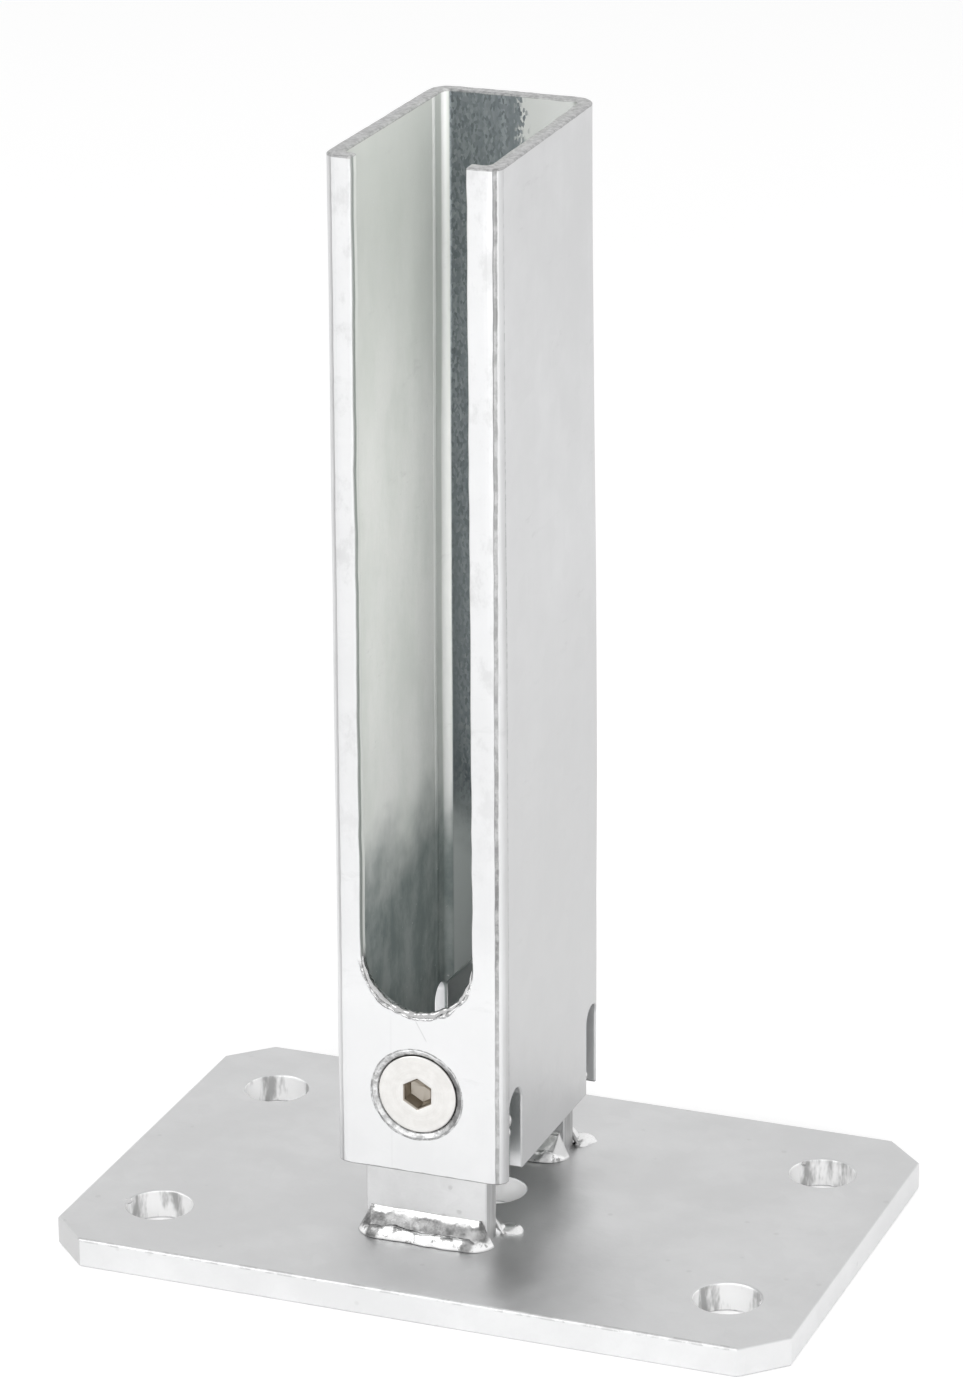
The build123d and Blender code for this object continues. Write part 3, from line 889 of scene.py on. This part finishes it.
def main():
    place_camera()
    plate_zinc = zinc("zinc_plate", light=0.93, dark=0.84, warm=-0.004, rough=0.40, streaks=0.0,
                      spangle=0.30, lumps=0.55, specks=0.15, dress=dress_plate)
    lug_zinc = zinc("zinc_lug", light=0.86, dark=0.70, warm=-0.002, rough=0.38, streaks=0.0,
                    spangle=0.30, lumps=0.8, specks=0.25, dress=dress_lug)
    weld_zinc = zinc("zinc_weld", light=0.88, dark=0.66, warm=0.0, rough=0.27, streaks=0.0,
                     spangle=0.20, lumps=1.0, specks=0.2, dress=dress_weld)
    roll_zinc = zinc("zinc_roll", light=0.95, dark=0.52, warm=0.0, rough=0.24, streaks=0.0,
                     spangle=0.20, lumps=1.6, specks=0.2)
    socket_zinc = zinc("zinc_socket", light=0.87, dark=0.80, warm=-0.006, rough=0.35, streaks=0.12,
                       spangle=0.35, lumps=0.5, specks=0.0, dress=dress_socket)
    screw_steel = stainless("stainless_turned")

    socket = make_socket(socket_zinc)
    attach(socket, "socket")
    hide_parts("post_socket")

    for name, node, face_y, outward, seed in (
            ("front_outer_bead", "front_outer_weld", -LUG_OUTER, -1, 0.7),
            ("front_inner_bead", "front_inner_weld", -LUG_INNER, 1, 3.1),
            ("rear_inner_bead", "rear_inner_weld", LUG_INNER, -1, 5.4),
            ("rear_outer_bead", "rear_outer_weld", LUG_OUTER, 1, 8.2)):
        bead = make_weld(name, weld_zinc, face_y, outward, seed)
        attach(bead, "base")
        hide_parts(node)

    for name, node, side in (("front_bolt", "front_screw", -1), ("rear_bolt", "rear_screw", 1)):
        bolt = make_screw(name, screw_steel, side)
        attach(bolt, "base")
        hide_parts(node)

    on_socket = make_drips("socket_drips", roll_zinc, (
        ((12.75, -24.35, 33.2), (0.45, 0.36, 1.15)), ((12.6, -24.3, 30.6), (0.35, 0.3, 0.8)),
        ((-21.7, 18.35, 26.0), (0.35, 0.3, 0.9)), ((12.7, 18.3, 24.6), (0.35, 0.28, 0.8))))
    front_rolls = make_front_rolls(roll_zinc)
    for piece in (on_socket, front_rolls):
        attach(piece, "socket")
    on_base = make_drips("base_drips", roll_zinc, (
        ((-65.3, -29.9, 5.72), (1.2, 0.8, 0.38)), ((64.9, -28.6, 5.50), (0.4, 0.8, 0.5)),
        ((53.4, 33.3, 5.45), (0.5, 0.5, 0.5)), ((9.6, -16.4, 5.9), (2.9, 2.2, 1.5)),
        ((7.4, -17.6, 6.4), (1.8, 1.6, 1.6)), ((8.6, 26.9, 5.9), (3.0, 2.8, 1.5)),
        ((6.8, 26.2, 6.5), (1.9, 1.8, 2.2))))
    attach(on_base, "base")

    for name, material in (("base_plate", plate_zinc), ("front_lug", lug_zinc),
                           ("rear_lug", lug_zinc), ("front_outer_weld", weld_zinc),
                           ("front_inner_weld", weld_zinc), ("rear_inner_weld", weld_zinc),
                           ("rear_outer_weld", weld_zinc), ("front_screw", screw_steel),
                           ("rear_screw", screw_steel), ("post_socket", socket_zinc)):
        data = nodes[name].data
        if len(data.materials):
            for slot in range(len(data.materials)):
                data.materials[slot] = material
        else:
            data.materials.append(material)


# Studio

def make_floor():
    """A pale floor that keeps the object's shadow and is seen nearly white."""
    bm = bmesh.new()
    count = 48
    size = 9.0
    grid = [[bm.verts.new((size * (i / count - 0.5), size * (j / count - 0.5), -0.00002))
             for i in range(count + 1)] for j in range(count + 1)]
    for j in range(count):
        for i in range(count):
            bm.faces.new((grid[j][i], grid[j][i + 1], grid[j + 1][i + 1], grid[j + 1][i]))
    g = Graph("studio_floor")
    place = g.place()
    tone = g.noise(place, 3.0, 2.0, 0.5)
    paper = g.mix(tone, (0.83, 0.83, 0.83, 1.0), (0.85, 0.85, 0.85, 1.0))
    diffuse = g.node("ShaderNodeBsdfDiffuse", Color=paper)
    rays = g.tree.nodes.new("ShaderNodeLightPath")
    # The glow that lifts the floor to white; in reflections it is weaker, most so at the rear
    to_camera = 0.24
    ahead = g.span(g.split(place)[1], 0.25, -0.35, 0.02, 0.15)
    strength = g.math("MULTIPLY_ADD", rays.outputs["Is Camera Ray"], g.minus(to_camera, ahead), ahead)
    glow = g.node("ShaderNodeEmission", Strength=strength)
    none = g.node("ShaderNodeEmission", Strength=0.0)
    chosen = g.tree.nodes.new("ShaderNodeMixShader")
    seen = g.most(rays.outputs["Is Camera Ray"], rays.outputs["Is Glossy Ray"])
    seen = g.most(seen, rays.outputs["Is Transmission Ray"])
    g.feed(chosen.inputs[0], seen)
    g.feed(chosen.inputs[1], none.outputs[0])
    g.feed(chosen.inputs[2], glow.outputs[0])
    both = g.tree.nodes.new("ShaderNodeAddShader")
    g.feed(both.inputs[0], diffuse.outputs[0])
    g.feed(both.inputs[1], chosen.outputs[0])
    material = g.finish(both.outputs[0])
    floor = to_object(bm, "studio_floor", material, weighted=False)


def make_world():
    """White to the camera and in reflections, and a soft light that leans to the front left."""
    world = bpy.data.worlds.new("studio_world")
    bpy.context.scene.world = world
    world.use_nodes = True
    tree = world.node_tree
    tree.nodes.clear()
    where = tree.nodes.new("ShaderNodeTexCoord")
    split = tree.nodes.new("ShaderNodeSeparateXYZ")
    tree.links.new(where.outputs["Generated"], split.inputs[0])

    def join(operation, a, b, c=0.0):
        made = tree.nodes.new("ShaderNodeMath")
        made.operation = operation
        for socket, value in zip(made.inputs, (a, b, c)):
            if isinstance(value, bpy.types.NodeSocket):
                tree.links.new(value, socket)
            else:
                socket.default_value = value
        return made.outputs[0]

    # Brighter from the front left, calmer from behind and from the right
    lean = join("MULTIPLY_ADD", split.outputs[1], -0.80, join("MULTIPLY", split.outputs[0], -0.30))
    ramp = tree.nodes.new("ShaderNodeMapRange")
    ramp.interpolation_type = "SMOOTHSTEP"
    tree.links.new(lean, ramp.inputs["Value"])
    ramp.inputs["From Min"].default_value = -0.9
    ramp.inputs["From Max"].default_value = 0.9
    ramp.inputs["To Min"].default_value = 0.88
    ramp.inputs["To Max"].default_value = 1.02
    light = tree.nodes.new("ShaderNodeBackground")
    tree.links.new(ramp.outputs[0], light.inputs["Strength"])
    white = tree.nodes.new("ShaderNodeBackground")
    white.inputs["Strength"].default_value = 1.0
    white.inputs["Color"].default_value = (1, 1, 1, 1)
    rays = tree.nodes.new("ShaderNodeLightPath")
    chosen = tree.nodes.new("ShaderNodeMixShader")
    seen = join("MAXIMUM", rays.outputs["Is Camera Ray"], rays.outputs["Is Transmission Ray"])
    seen = join("MAXIMUM", seen, rays.outputs["Is Glossy Ray"])
    tree.links.new(seen, chosen.inputs[0])
    tree.links.new(light.outputs[0], chosen.inputs[1])
    tree.links.new(white.outputs[0], chosen.inputs[2])
    out = tree.nodes.new("ShaderNodeOutputWorld")
    tree.links.new(chosen.outputs[0], out.inputs["Surface"])


def make_lamp(name, place, target, size, power, gloss=True):
    data = bpy.data.lights.new(name, "AREA")
    data.shape = "RECTANGLE"
    data.size = size[0]
    data.size_y = size[1]
    data.energy = power
    lamp = bpy.data.objects.new(name, data)
    bpy.context.scene.collection.objects.link(lamp)
    lamp.visible_glossy = gloss
    aim = Vector(target) - Vector(place)
    lamp.matrix_world = (Matrix.Translation(Vector(place))
                         @ aim.to_track_quat("-Z", "Y").to_matrix().to_4x4())


main()
make_floor()
make_world()
make_lamp("key", (-1.0, -1.3, 1.3), (0, 0, 0.1), (1.1, 1.1), 7.0)
make_lamp("front_fill", (0.72, -1.6, 0.75), (0, 0, 0.12), (0.7, 0.7), 24.0, gloss=False)
bpy.context.scene.view_settings.view_transform = "Standard"
